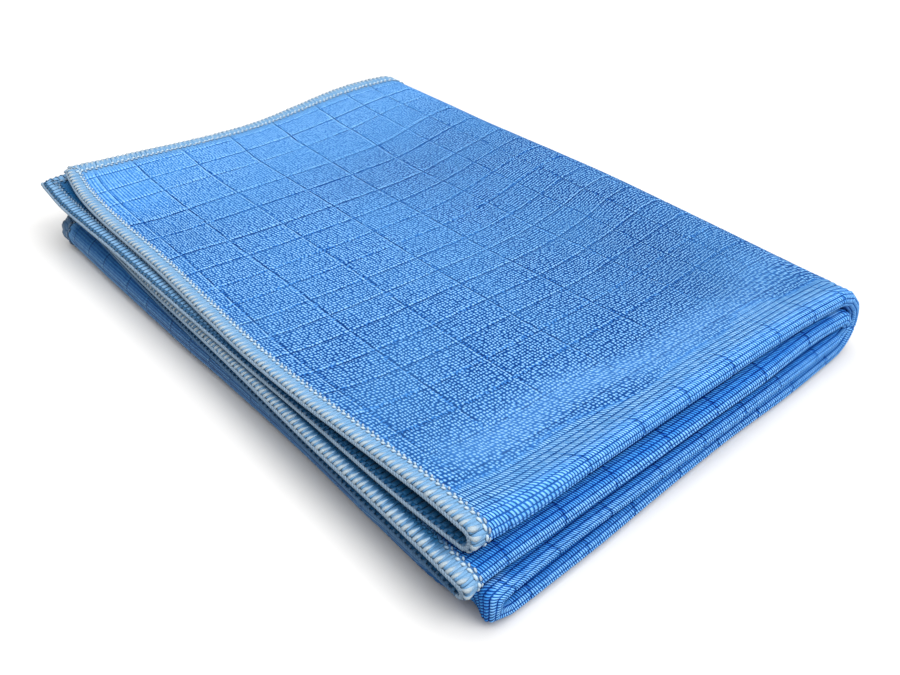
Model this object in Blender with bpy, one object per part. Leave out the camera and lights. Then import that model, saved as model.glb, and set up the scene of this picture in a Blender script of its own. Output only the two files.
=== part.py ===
"""A microfibre cleaning cloth with an overlocked hem, folded small and lying flat.

The cloth is folded once across its width, which makes a double layer with a round nose
along one side, and that double strip is then folded in half twice along its length. Four
double strips lie on one another, eight layers in all:

    strip 1, on top      hem at the left, its far end wraps down the right side
    strip 2              hem at the left, wraps down the right side inside strip 1
    strip 3              joins strip 2 at the right, and strip 4 at the left
    strip 4, at the bottom

X runs along the strips, Y from the folded noses (front) to the open hems (back), Z is up.
The tables' lengths are in millimetres.
"""

import math

import bpy
import numpy as np

MM = 0.001
COLOUR = (0.08, 0.27, 0.75, 1)
ROUGHNESS = 0.9

# The sheet.
SHEET = 1.45 * MM  # thickness
HEM = 1.75 * MM  # thickness over the overlock stitches
HEM_WIDTH = 3.6 * MM
HEM_SLOPE = 0.6 * MM  # over which it thins to the sheet
EDGE_ROUND = 0.4 * MM
EDGE_THINNING = 0.3

# The double layer: two layers and the round nose that joins them, seen from the side.
LAYER_RISE = 1.0 * MM  # from the strip's middle to a layer's middle
GAPE = 0.5 * MM  # what the top strip's hem adds to that rise where it gapes
GAPE_LIFT = 0.8  # the share of it that the strip's middle goes up
GAPE_LENGTH = 30 * MM  # how far along the strip the hem gapes
GAPE_WIDTH = (10 * MM, 70 * MM)  # from the nose, where it starts and stops closing
SAG = 1.0 * MM  # how far the other hem's lower layer hangs down, and the upper one half as far
SAG_LENGTH = 5 * MM
SAG_WIDTH = (20 * MM, 60 * MM)
TUCK = 0.9 * MM  # how far the top hem's nose is drawn back
TUCK_LENGTH = 12 * MM
TUCK_WIDTH = (2 * MM, 60 * MM)
NOSE_CENTRE = 2.1 * MM  # in Y
NEAR_LAYER = 144.0 * MM  # in Y from the nose's centre to the hem
FAR_LAYER = 145.9 * MM  # the other layer, folded a little longer

# The folded stack, before it is bent out of true.
STRIP_PITCH = 4.0 * MM  # from strip to strip, in Z
FLOOR_STRIP = LAYER_RISE + SHEET / 2  # height of strip 4's middle
TOP_STRIP = FLOOR_STRIP + 3 * STRIP_PITCH
RIGHT_WRAP = 95.6 * MM  # centre of the outer wrap, in X
INNER_WRAP = 95.7 * MM  # centre of the inner wrap, in X
LEFT_FOLD = -0.8 * MM  # centre of the fold at the left, in X
CLOCKWISE, STRAIGHT, ANTICLOCKWISE = -1, 0, 1

# The middle line of the double strip, from the top hem to the second strip's hem.
STRIP_LINE = (
    # (length, turn)
    (RIGHT_WRAP, STRAIGHT),
    (math.pi * 1.5 * STRIP_PITCH, CLOCKWISE),
    (RIGHT_WRAP - LEFT_FOLD, STRAIGHT),
    (math.pi * 0.5 * STRIP_PITCH, CLOCKWISE),
    (INNER_WRAP - LEFT_FOLD, STRAIGHT),
    (math.pi * 0.5 * STRIP_PITCH, ANTICLOCKWISE),
    (INNER_WRAP, STRAIGHT),
)
NOSE_TURN = math.pi * LAYER_RISE
CUT_LENGTH = sum(length for length, _ in STRIP_LINE)
CUT_WIDTH = NEAR_LAYER + NOSE_TURN + FAR_LAYER

# How far each hem lies out of line. Rows are (Y along the hem, X of its edge).
TOP_LAYER_HEM = (
    (2, -1.4), (10, -1.5), (21, -2.0), (32, -2.5), (42, -3.0), (58, -3.3), (71, -3.0),
    (99, -2.1), (122, -2.3), (132, -1.8), (140, -0.7), (146, 0.4),
)
SECOND_LAYER_HEM = (
    (2, -2.1), (10, -2.7), (20, -3.0), (36, -3.1), (64, -3.8), (96, -4.4), (110, -4.6),
    (124, -5.2), (134, -5.5), (146, -5.2),
)
THIRD_LAYER_HEM = (
    (2, -5.6), (20, -5.2), (40, -5.2), (70, -4.6), (100, -4.3), (118, -3.7), (132, -2.8),
    (146, -2.2),
)
FOURTH_LAYER_HEM = ((2, -5.5), (30, -5.2), (60, -4.9), (90, -4.4), (120, -3.2), (146, -1.8))
HEM_REACH = 60 * MM  # how far into a strip its end is pulled along

# How far the nose is out of line. Rows are (share of the cut's length, Y of the nose).
NOSE_LINE = (
    (0, 0.2), (0.20, -0.2), (0.25, -1.8), (0.30, -2.8), (0.38, -3.1), (0.47, -4.2), (0.51, -4.4),
    (0.54, -3.6), (0.60, -3.4), (0.70, -3.1), (0.755, -2.7), (0.79, -1.7), (0.84, -2.3), (1, -2.0),
)

# How far the two sides of the stack lean. Rows are (Y, shift in X).
LEFT_LEAN = (
    (0, 1.8), (3, 1.2), (22, 1.0), (44, 1.2), (69, 0.8), (91, 0.1), (117, -0.3), (146, -0.6),
)
RIGHT_LEAN = ((-4, -3.2), (20, -2.8), (70, -1.9), (110, -3.1), (146, -3.8))
LEAN_REACH = 60 * MM
LEAN_HEIGHT = (5.5 * MM, 8 * MM)  # the left side leans only below this

# The stack's height as a share of its true one, over a grid of places.
HEIGHT_X = (-8, 2, 12, 50, 84, 102)
STACK_HEIGHT = (
    # (Y, a share for each X)
    (-4, (0.95, 0.97, 0.98, 0.98, 0.98, 0.97)),
    (8, (0.97, 0.97, 0.97, 0.97, 0.98, 0.98)),
    (40, (0.96, 0.94, 0.95, 0.94, 0.98, 1.00)),
    (100, (0.95, 0.96, 0.95, 0.92, 0.98, 1.02)),
    (136, (0.98, 1.01, 0.99, 0.91, 1.02, 1.04)),
    (148, (1.035, 1.085, 1.035, 0.88, 1.07, 1.06)),
)

# The mesh.
RUN_STEPS = {STRAIGHT: 8, CLOCKWISE: 9, ANTICLOCKWISE: 8}
LAYER_STEPS, NEAR_NOSE_STEPS, NOSE_STEPS = 8, 3, 7
NEAR_NOSE = 16 * MM
PROBE = 0.02 * MM


def smooth(x, low, high):
    """0 below low and 1 above high, with a soft step between."""
    share = np.clip((x - low) / (high - low), 0, 1)
    return share * share * (3 - 2 * share)


def curve(xs, values, x):
    """A smooth curve through points, level beyond the first and the last."""
    slopes = np.diff(values) / np.diff(xs)
    tangent = np.concatenate([slopes[:1], (slopes[1:] + slopes[:-1]) / 2, slopes[-1:]])
    i = np.clip(np.searchsorted(xs, x) - 1, 0, len(xs) - 2)
    gap = xs[i + 1] - xs[i]
    t = np.clip((x - xs[i]) / gap, 0, 1)
    step = t * t * (3 - 2 * t) * (values[i + 1] - values[i])
    return values[i] + step + gap * t * (1 - t) * ((1 - t) * tangent[i] - t * tangent[i + 1])


def along(table, y):
    """A table's second column at y, in metres."""
    ys, values = np.array(table, float).T
    return curve(ys, values, y / MM) * MM


def strip_middle(s):
    """Place (x, z) and upward side (nx, nz) of the strip's middle line at length s."""
    x, z, nx, nz = (np.zeros_like(s) for _ in range(4))
    begin, at_x, at_z, heading = 0.0, 0.0, TOP_STRIP, 0.0
    for n, (length, turn) in enumerate(STRIP_LINE):
        here = (s >= begin) if n else np.full(s.shape, True)
        step = s[here] - begin
        angle = heading + turn * math.pi * step / length
        if turn:
            radius = turn * length / math.pi
            x[here] = at_x + radius * (np.sin(angle) - math.sin(heading))
            z[here] = at_z - radius * (np.cos(angle) - math.cos(heading))
            at_z += 2 * radius * math.cos(heading)
            heading += turn * math.pi
        else:
            x[here] = at_x + step * math.cos(heading)
            z[here] = at_z
            at_x += length * math.cos(heading)
        nx[here], nz[here] = -np.sin(angle), np.cos(angle)
        begin += length
    return x, z, nx, nz


def double_layer(v):
    """Y at v across the cut before the nose's round is cut off, and the round's angle."""
    after = v - NEAR_LAYER
    beyond = np.maximum(-after, 0) + np.maximum(after - NOSE_TURN, 0)
    return NOSE_CENTRE + beyond, np.clip(after / LAYER_RISE, 0, math.pi)


def hem_shift(near_table, far_table, y, side):
    """How far a strip's end is pulled along, from its table for each layer."""
    near, far = along(near_table, y), along(far_table, y)
    return far + (near - far) * (1 + side) / 2


def folded(u, v):
    """The middle of the folded cloth at u along and v across the cut, as points in space."""
    y, angle = double_layer(v)
    side = np.cos(angle)
    start = hem_shift(TOP_LAYER_HEM, SECOND_LAYER_HEM, y, side)
    end = hem_shift(FOURTH_LAYER_HEM, THIRD_LAYER_HEM, y, side)
    left = CUT_LENGTH - u
    s = u + start * (1 - smooth(u, 0, HEM_REACH)) - end * (1 - smooth(left, 0, HEM_REACH))
    gape = GAPE * (1 - smooth(u, 0, GAPE_LENGTH)) * (1 - smooth(y, *GAPE_WIDTH))
    sag = SAG * (1 - smooth(left, 0, SAG_LENGTH)) * (1 - smooth(y, *SAG_WIDTH))
    reach = LAYER_RISE + gape + sag / 4
    rise = side * reach + GAPE_LIFT * gape + sag * 0.75
    x, z, nx, nz = strip_middle(s)
    nose_shares, nose_ys = np.array(NOSE_LINE, float).T
    nose = curve(nose_shares, nose_ys, u / CUT_LENGTH) * MM - reach * np.sin(angle)
    tuck = TUCK * (1 - smooth(u, 0, TUCK_LENGTH)) * (1 - smooth(y, *TUCK_WIDTH))
    return np.stack([x + rise * nx, y + nose + tuck, z + rise * nz], -1)


def height_share(x, y):
    """The stack's height at a place, as a share of its true one."""
    xs, ys = np.array(HEIGHT_X, float), np.array([y_mm for y_mm, _ in STACK_HEIGHT], float)
    rows = np.stack([curve(xs, np.array(row), x / MM) for _, row in STACK_HEIGHT])
    i = np.clip(np.searchsorted(ys, y / MM) - 1, 0, len(ys) - 2)
    low, high = (np.take_along_axis(rows, k[None], 0)[0] for k in (i, i + 1))
    return low + (high - low) * smooth(y / MM, ys[i], ys[i + 1])


def bent(points):
    """The true stack's points, leaned over at its sides and pressed or puffed in height."""
    x, y, z = points[..., 0], points[..., 1], points[..., 2]
    left = (1 - smooth(x, 0, LEAN_REACH)) * (1 - smooth(z, *LEAN_HEIGHT))
    right = smooth(x, RIGHT_WRAP - LEAN_REACH, RIGHT_WRAP)
    x = x + along(LEFT_LEAN, y) * left + along(RIGHT_LEAN, y) * right
    return np.stack([x, y, np.maximum(z * height_share(x, y), 0)], -1)


def cloth_point(u, v, lift):
    """A point of the cloth, lifted off its middle towards its outer face."""
    along_u = folded(u + PROBE, v) - folded(u - PROBE, v)
    along_v = folded(u, v + PROBE) - folded(u, v - PROBE)
    normal = np.cross(along_v, along_u)
    normal /= np.linalg.norm(normal, axis=-1, keepdims=True)
    return bent(folded(u, v) + normal * lift[..., None])


def half_thickness(u, v):
    """Half the cloth's thickness, which grows over the overlocked hem."""
    inside = np.minimum(np.minimum(u, CUT_LENGTH - u), np.minimum(v, CUT_WIDTH - v))
    over_hem = 1 - smooth(inside, HEM_WIDTH - HEM_SLOPE / 2, HEM_WIDTH + HEM_SLOPE / 2)
    thinned = 1 - EDGE_THINNING * (1 - smooth(inside, 0, EDGE_ROUND))
    return (SHEET + (HEM - SHEET) * over_hem) / 2 * thinned


def with_hems(length, *runs):
    """Stations along a side: its hems' corners, and runs of (start, end, steps) between."""
    corners = np.array([0, EDGE_ROUND, HEM_WIDTH - HEM_SLOPE / 2, HEM_WIDTH + HEM_SLOPE / 2])
    inner = corners[-1]
    places = []
    for start, end, steps in runs:
        start, end = max(start, inner), min(end, length - inner)
        places.append(np.linspace(start, end, steps, endpoint=False))
    return np.concatenate([corners[:-1], *places, length - corners[::-1]])


def length_stations():
    runs, begin = [], 0.0
    for length, turn in STRIP_LINE:
        runs.append((begin, begin + length, RUN_STEPS[turn]))
        begin += length
    return with_hems(CUT_LENGTH, *runs)


def width_stations():
    far = NEAR_LAYER + NOSE_TURN
    return with_hems(
        CUT_WIDTH,
        (0, NEAR_LAYER - NEAR_NOSE, LAYER_STEPS),
        (NEAR_LAYER - NEAR_NOSE, NEAR_LAYER, NEAR_NOSE_STEPS),
        (NEAR_LAYER, far, NOSE_STEPS),
        (far, far + NEAR_NOSE, NEAR_NOSE_STEPS),
        (far + NEAR_NOSE, CUT_WIDTH, LAYER_STEPS),
    )


def closed_sheet(outer, inner):
    """Points and faces of a sheet with two sides, each a grid of points, and a rim."""
    count_u, count_v = outer.shape[:2]
    size = count_u * count_v
    index = np.arange(size).reshape(count_u, count_v)
    corners = [index[:-1, :-1], index[:-1, 1:], index[1:, 1:], index[1:, :-1]]
    upper = np.stack(corners, -1).reshape(-1, 4)
    edge = np.concatenate([index[:-1, 0], index[-1, :-1], index[:0:-1, -1], index[0, :0:-1]])
    after = np.roll(edge, -1)
    rim = np.stack([edge, after, after + size, edge + size], -1)
    faces = np.concatenate([upper, upper[:, ::-1] + size, rim])
    return np.concatenate([outer.reshape(-1, 3), inner.reshape(-1, 3)]), faces


def cloth_mesh():
    """The cloth as one closed mesh, its box centred over the origin."""
    u, v = np.meshgrid(length_stations(), width_stations(), indexing="ij")
    half = half_thickness(u, v)
    points, faces = closed_sheet(cloth_point(u, v, half), cloth_point(u, v, -half))
    middle = (points.min(0) + points.max(0)) / 2
    points = points - [middle[0], middle[1], 0]
    mesh = bpy.data.meshes.new("cloth")
    mesh.from_pydata(points.tolist(), [], faces.tolist())
    return mesh


def microfibre():
    material = bpy.data.materials.new("microfibre")
    material.use_nodes = True
    shader = material.node_tree.nodes["Principled BSDF"]
    shader.inputs["Base Color"].default_value = COLOUR
    shader.inputs["Roughness"].default_value = ROUGHNESS
    return material


def main():
    for obj in list(bpy.data.objects):
        bpy.data.objects.remove(obj)
    mesh = cloth_mesh()
    mesh.materials.append(microfibre())
    bpy.context.scene.collection.objects.link(bpy.data.objects.new("cloth", mesh))


main()
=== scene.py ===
"""A folded microfibre cloth on a pale studio floor: check knit, ribbed noses, overlocked hems.

The cloth has the fold of its solid: a sheet folded once across its width and twice along its
length, eight layers in all. This script makes the sheet finely, with the knit's ribs and its
check of grooves, and sews the overlock round its whole edge in thread.

u runs along the cut sheet and v across it, in metres. The tables' lengths are in millimetres.
"""

import math

import bpy
import numpy as np
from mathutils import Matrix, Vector


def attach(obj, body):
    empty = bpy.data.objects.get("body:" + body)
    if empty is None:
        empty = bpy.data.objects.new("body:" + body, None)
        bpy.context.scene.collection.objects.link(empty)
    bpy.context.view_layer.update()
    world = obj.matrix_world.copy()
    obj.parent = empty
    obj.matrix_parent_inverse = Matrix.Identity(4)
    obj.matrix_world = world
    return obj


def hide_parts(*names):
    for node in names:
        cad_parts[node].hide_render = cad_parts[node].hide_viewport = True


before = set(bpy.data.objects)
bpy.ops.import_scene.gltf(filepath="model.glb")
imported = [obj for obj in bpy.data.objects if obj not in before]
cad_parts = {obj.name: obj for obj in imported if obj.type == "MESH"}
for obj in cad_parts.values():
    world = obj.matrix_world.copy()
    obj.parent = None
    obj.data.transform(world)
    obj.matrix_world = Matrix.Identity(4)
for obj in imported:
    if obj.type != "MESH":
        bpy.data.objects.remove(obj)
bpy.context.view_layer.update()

MM = 0.001

# ---- the fold, as in the solid ----

SHEET = 1.45 * MM
MIDDLE = (47.853 * MM, 72.193 * MM)  # of the folded cloth, from its front hem corner
LAYER_RISE = 1.0 * MM
GAPE = 0.5 * MM
GAPE_LIFT = 0.8
GAPE_LENGTH = 30 * MM
GAPE_WIDTH = (10 * MM, 70 * MM)
SAG = 1.0 * MM
SAG_LENGTH = 5 * MM
SAG_WIDTH = (20 * MM, 60 * MM)
TUCK = 0.9 * MM
TUCK_LENGTH = 12 * MM
TUCK_WIDTH = (2 * MM, 60 * MM)
NOSE_CENTRE = 2.1 * MM
NEAR_LAYER = 144.0 * MM
FAR_LAYER = 145.9 * MM
STRIP_PITCH = 4.0 * MM
FLOOR_STRIP = LAYER_RISE + SHEET / 2
TOP_STRIP = FLOOR_STRIP + 3 * STRIP_PITCH
RIGHT_WRAP = 95.6 * MM
INNER_WRAP = 95.7 * MM
LEFT_FOLD = -0.8 * MM
CLOCKWISE, STRAIGHT, ANTICLOCKWISE = -1, 0, 1
STRIP_LINE = (
    # (length, turn)
    (RIGHT_WRAP, STRAIGHT),
    (math.pi * 1.5 * STRIP_PITCH, CLOCKWISE),
    (RIGHT_WRAP - LEFT_FOLD, STRAIGHT),
    (math.pi * 0.5 * STRIP_PITCH, CLOCKWISE),
    (INNER_WRAP - LEFT_FOLD, STRAIGHT),
    (math.pi * 0.5 * STRIP_PITCH, ANTICLOCKWISE),
    (INNER_WRAP, STRAIGHT),
)
NOSE_TURN = math.pi * LAYER_RISE
CUT_LENGTH = sum(length for length, _ in STRIP_LINE)
CUT_WIDTH = NEAR_LAYER + NOSE_TURN + FAR_LAYER

# Rows are (Y along the hem, X of its edge).
TOP_LAYER_HEM = (
    (2, -1.4), (10, -1.5), (21, -2.0), (32, -2.5), (42, -3.0), (58, -3.3), (71, -3.0),
    (99, -2.1), (122, -2.3), (132, -1.8), (140, -0.7), (146, 0.4),
)
SECOND_LAYER_HEM = (
    (2, -2.1), (10, -2.7), (20, -3.0), (36, -3.1), (64, -3.8), (96, -4.4), (110, -4.6),
    (124, -5.2), (134, -5.5), (146, -5.2),
)
THIRD_LAYER_HEM = (
    (2, -5.6), (20, -5.2), (40, -5.2), (70, -4.6), (100, -4.3), (118, -3.7), (132, -2.8),
    (146, -2.2),
)
FOURTH_LAYER_HEM = ((2, -5.5), (30, -5.2), (60, -4.9), (90, -4.4), (120, -3.2), (146, -1.8))
HEM_REACH = 60 * MM

# Rows are (share of the cut's length, Y of the nose).
NOSE_LINE = (
    (0, 0.2), (0.20, -0.2), (0.25, -1.8), (0.30, -2.8), (0.38, -3.1), (0.47, -4.2), (0.51, -4.4),
    (0.54, -3.6), (0.60, -3.4), (0.70, -3.1), (0.755, -2.7), (0.79, -1.7), (0.84, -2.3), (1, -2.0),
)

# Rows are (Y, shift in X).
LEFT_LEAN = (
    (0, 1.8), (3, 1.2), (22, 1.0), (44, 1.2), (69, 0.8), (91, 0.1), (117, -0.3), (146, -0.6),
)
RIGHT_LEAN = ((-4, -3.2), (20, -2.8), (70, -1.9), (110, -3.1), (146, -3.8))
LEAN_REACH = 60 * MM
LEAN_HEIGHT = (5.5 * MM, 8 * MM)

HEIGHT_X = (-8, 2, 12, 50, 84, 102)
STACK_HEIGHT = (
    # (Y, a share for each X)
    (-4, (0.95, 0.97, 0.98, 0.98, 0.98, 0.97)),
    (8, (0.97, 0.97, 0.97, 0.97, 0.98, 0.98)),
    (40, (0.96, 0.94, 0.95, 0.94, 0.98, 1.00)),
    (100, (0.95, 0.96, 0.95, 0.92, 0.98, 1.02)),
    (136, (0.98, 1.01, 0.99, 0.91, 1.02, 1.04)),
    (148, (1.035, 1.085, 1.035, 0.88, 1.07, 1.06)),
)
PROBE = 0.02 * MM

# ---- the knit ----

RIB = 1.05  # pitch of the knit's courses, in mm
RIB_POWER, RIB_MEAN = 0.6, 0.6  # of a rib's section
FLAT_RIB, NOSE_RIB = 0.02, 0.20  # height of the ribs on the flats, and more on the noses, in mm
STITCH = 0.60  # pitch of its stitches along a course, in mm
HEM_STITCH = 0.72  # share of that pitch by the hems
HEM_STITCH_REACH = 60 * MM
RIBBED = 8.0  # how far from a nose the ribs reach, in mm
RIBBED_SWINGS = ((1.6, 9.1, 0.0), (1.0, 3.7, 1.1))  # (size, length along u, phase)
RIBBED_FULL = 0.30  # share of that reach with the ribs at their full height
UNEVEN_LOW, UNEVEN_HIGH = 0.10, 0.035  # sizes of the cloth's long and short waves, in mm
OUTER_ARC = SHEET / 2 / LAYER_RISE  # how much longer a nose's outer face is than its middle
NOSE_MIDDLE = NEAR_LAYER + NOSE_TURN / 2
TURN_BEGINS = [sum(length for length, _ in STRIP_LINE[:n]) for n in (1, 3, 5)]

# Where the grooves of the check run: along the cut (in u), and across it (in v).
WALE_GROOVES = (
    6.3, 17.4, 29.1, 40.9, 53.4, 67.7, 79.5, 88.8, 101, 113, 126, 138, 151, 163, 176, 188, 201,
    214, 224, 236, 249, 261, 274, 286, 299, 312, 327, 343, 358, 370, 382, 394, 407,
)
COURSE_GROOVES = (
    7.4, 15.1, 22.7, 34.1, 42.9, 53.3, 60.7, 68.1, 75.4, 82.5, 88.9, 95.6, 102.9, 109.5, 116.4,
    123.5, 129.9, 135.7, 159, 166, 173, 180, 187, 194, 201, 208, 215, 222, 229, 236, 243, 250,
    257, 264, 271, 278, 285,
)
GROOVE_DEPTH = 0.22 * MM
GROOVE_HALF = 0.30 * MM
GROOVE_CROSSING = 0.25  # how much deeper two grooves are where they cross
BANK_HEIGHT, BANK_PLACE, BANK_WIDTH = 0.25, 0.5, 0.2  # of the knit's swell beside a groove
PLAIN_SHARE = 0.75  # how much fainter the grooves are on the plain strip before the nose
PLAIN_BEGINS, PLAIN_ENDS = (124 * MM, 132 * MM), (140 * MM, 144 * MM)
WORN_MIDDLE, WORN_WIDTH = 10.5, 4.2  # of the rubbed band, behind the nose, in mm
WORN_SWINGS = ((2.0, 13.0, 0.0), (1.2, 4.7, 1.0))  # (size, length along u, phase)
WORN_BEGINS, WORN_FADES, WORN_FADE = (3, 14), (60, 90), 0.35  # along u, in mm, and by how much
CONTRAST = 0.63  # painted shade in the gaps between the stitches: how deep it is by the back hem
CONTRAST_STEPS = ((0.22, 5, 50), (0.15, 60, 125))  # (how much more, from v, to v)
RIGHT_CONTRAST, RIGHT_U, RIGHT_V = 0.18, (35, 80), (15, 60)
VALLEY_UP, VALLEY_DOWN = (0.45, 1.0), (0.70, 1.0)  # how level a shaded face is
LINES_U, LINES_V = (12 * MM, 20 * MM), (22 * MM, 34 * MM)  # where the corner's lines end

GRAIN = (0.57, 0.66)  # size of a loose stitch on the flats, in mm
WALE, FOLD_WALE = 0.80, 0.35  # pitch of the lines by the corner and on the left fold, in mm
WALE_PITCH, COURSE_PITCH = 12.3, 7.1  # the check's usual pitches, in mm
BESIDE = 0.42  # from a groove to its line of stitches with a painted highlight, in mm

# Where things begin and where they are full, in from the sheet's edge.
KNIT_BEGINS = (3.0 * MM, 3.8 * MM)
HEM_NARROWS = (2.7 * MM, 3.7 * MM)
HEM_TONE = (2.9 * MM, 3.5 * MM)
EDGE_TONE = (0.5 * MM, 1.0 * MM)
EDGE_ROUND, EDGE_THINNER = 0.35 * MM, 0.35
WAVES_BEGIN = (3 * MM, 20 * MM)
DRIFT_BEGINS, DRIFT_ENDS = (2 * MM, 14 * MM), (2 * MM, 40 * MM)
BOW_BEGINS = (2 * MM, 12 * MM)
# The same, away from the nose's middle.
NOSE_TONE = (1.6 * MM, 4.0 * MM)
FOLD_TONE = (2.5 * MM, 9 * MM)
FOLD_REACH = 6 * MM

# Lines of the sheet's grid, in mm, and its steps.
EDGE_LINES = (0, 0.12, 0.35, 1.2, 2.2, 3.1, 3.6)
GROOVE_LINES = (-0.75, -0.42, -0.15, 0.15, 0.42, 0.75)
HEM_BAND = 4.0  # how far in the hem's lines go, where no groove adds its own
TIGHT_TURN = 10 * MM
TIGHT_STEP, WIDE_STEP, FLAT_STEP = 0.6 * MM, 1.2 * MM, 4.5 * MM
NOSE_STEP, RIB_STEP, RIB_STEP_REACH = 0.105 * MM, 0.18 * MM, 8.5 * MM
NEAR_STEP, FAR_STEP = 4.0 * MM, 6 * MM

# How far the grooves that run in v stray along u. Rows are (v, a shift for each u).
DRIFT_U = (0, 17, 41, 68, 85, 120)
WALE_DRIFT = (
    (0, (0, -2.3, 1.2, 2.9, 1.3, 0)),
    (10, (0, -1.4, 0.4, 1.9, 0.6, 0)),
    (20, (0, -1.1, -0.5, 0.9, 0, 0)),
    (50, (0, -1.1, -0.3, -0.9, 0.4, 0)),
    (80, (0, 0, 0, 0, 0, 0)),
    (110, (0, -0.2, 0.7, 2.6, 0.5, 0)),
    (130, (0, -0.5, 1.4, 4.5, 1.5, 1)),
    (138, (0, 1.5, 4.5, 6.3, 4.0, 3)),
    (145, (0, 6.0, 6.2, 7.2, 7.0, 5)),
    (150, (0, 5.5, 5.5, 6.0, 6.0, 5)),
    (175, (0, 0, 0, 0, 0, 0)),
    (294, (0, 0, 0, 0, 0, 0)),
)

# How far the courses stray along v. Rows are (v, a shift for each u).
BOW_U = (3, 10, 20, 40, 60, 70, 80, 90, 97, 125)
COURSE_BOW = (
    (0, (0, 0, 0, 0, 0, 0, 0, 0, 0, 0)),
    (15, (0.3, 0.4, 0.2, 0, -0.4, -0.7, -1.5, -2.5, -3, 0)),
    (34, (-1.4, -0.2, -0.4, -0.1, 0.5, 0.5, -1.6, -4.2, -5, 0)),
    (53, (-2.7, -2.7, -1.6, -0.5, 0.3, -0.3, -2.4, -4.6, -6, 0)),
    (68, (-2.5, -1.8, -1.2, -0.2, 0, -1.5, -3.8, -6.2, -7, 0)),
    (95, (-3.8, -2.2, -1.1, -0.3, 0.3, -0.5, -2.2, -5.0, -6, 0)),
    (110, (-3.7, -1.9, -0.5, -0.1, 0.2, -0.8, -1.6, -3.0, -4, 0)),
    (123, (-1.6, -1.0, -0.3, -0.1, -0.3, -0.9, -1.8, -2.8, -3, 0)),
    (131, (-1.0, -0.6, 0, 0, -0.3, -0.8, -1.4, -2.4, -2.5, 0)),
    (138, (0, 0, 0, 0, 0, 0, 0, 0, 0, 0)),
    (294, (0, 0, 0, 0, 0, 0, 0, 0, 0, 0)),
)

# ---- the overlock ----

EDGE = 0.45 * MM  # the sheet's edge, in from the outside of the thread round it
HEM_HALF = 0.62 * MM  # half the sheet's thickness under the thread
CORNER = 2.1 * MM  # radius of the sheet's corners
LOOP = 1.25 * MM  # length of one overlock stitch
SIDES = 5  # of a thread's section
BACK_HEM = 0.35  # how much wider the overlock is along the back
CORNER_DRAW = 0.35  # how closely the threads are drawn together round a corner

# A satin thread on the outer face, from the needle row over the crest to the edge, in mm. The
# inner face has its first rows only.
SATIN_PROFILE = (
    # (in from the edge, off the sheet's middle, half width, half height)
    (2.60, 0.60, 0.18, 0.06), (2.35, 0.68, 0.34, 0.09), (1.80, 0.71, 0.39, 0.10),
    (1.20, 0.73, 0.39, 0.10), (0.80, 0.74, 0.37, 0.10), (0.42, 0.70, 0.36, 0.10),
    (0.12, 0.60, 0.34, 0.10), (-0.04, 0.36, 0.30, 0.09),
)
INNER_ROWS = 6
SATIN_SLANT = -0.05  # of its length, along the edge
SATIN_UNEVEN = (0.03 * MM, 0.06 * MM, 0.015)  # along the edge, inward, and share of the height
# A loop's thread over the edge, from the crest to the inner face, in mm.
LOOP_PROFILE = (
    # (in from the edge, off the middle, half width, half height, share of a stitch along,
    # crest, dimness: painted shade, most on the inner face)
    (1.75, 0.76, 0.12, 0.06, -0.14, 0.0, 0.0), (1.25, 0.78, 0.25, 0.10, -0.10, 0.3, 0.0),
    (0.80, 0.80, 0.32, 0.14, -0.06, 0.8, 0.0), (0.40, 0.81, 0.35, 0.17, 0.0, 1.0, 0.0),
    (0.06, 0.69, 0.34, 0.16, 0.08, 1.0, 0.10),
    (-0.10, 0.42, 0.36, 0.15, 0.20, 1.0, 0.25), (-0.16, 0.10, 0.32, 0.14, 0.34, 1.0, 0.35),
    (-0.14, -0.25, 0.32, 0.15, 0.48, 1.0, 0.60), (0.00, -0.58, 0.32, 0.17, 0.60, 0.9, 0.90),
    (0.35, -0.70, 0.26, 0.12, 0.66, 0.5, 1.0), (0.75, -0.64, 0.16, 0.08, 0.70, 0.0, 1.0),
)
LOOP_UNEVEN = (0.05 * MM, 0.05, 0.02, 0.10)  # along, inward in mm, share of height, of width
# The rope of two threads along the outside of the edge, in mm.
ROPE_INWARD, ROPE_HEIGHT = -0.22, -0.04
ROPE_SWING = (0.12, 0.25)  # of its threads, inward and in height
ROPE_RADIUS = 0.21
ROPE_STEPS = 6  # of its threads, for each stitch
EDGE_DIM, EDGE_DIM_INWARD = 0.38, (0.1 * MM, 0.7 * MM)  # painted shade on the satin rows, at the edge
# Painted shade on the rope.
ROPE_DIM = 0.42
THIRD_EDGE_DIM, FOURTH_EDGE_DIM = 0.25, 0.85  # painted shade on the threads of the lower hems' edges
LOWER_HALF = (CUT_LENGTH * 0.5, CUT_LENGTH * 0.6)
NEEDLE_ROWS = (
    # (shift along the edge in stitches, in from the edge, half length, slope, half width)
    (0.0, 2.35, 0.36, -0.14, 0.27),
    (0.5, 2.85, 0.30, 0.16, 0.20),
)

# Painted shade where layers lie close on the hems, and where light comes in between them and it is
# left off.
LEDGE_INWARD, LEDGE_FROM_NOSE = (0.2 * MM, 1.8 * MM), (3 * MM, 9 * MM)
BACK_SHADE, BACK_FROM_NOSE = 0.35, (65 * MM, 95 * MM)
LIT_V, LIT_INWARD = (CUT_WIDTH - 95 * MM, CUT_WIDTH - 50 * MM), (1.0 * MM, 3.2 * MM)

# ---- colours, linear ----

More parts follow.
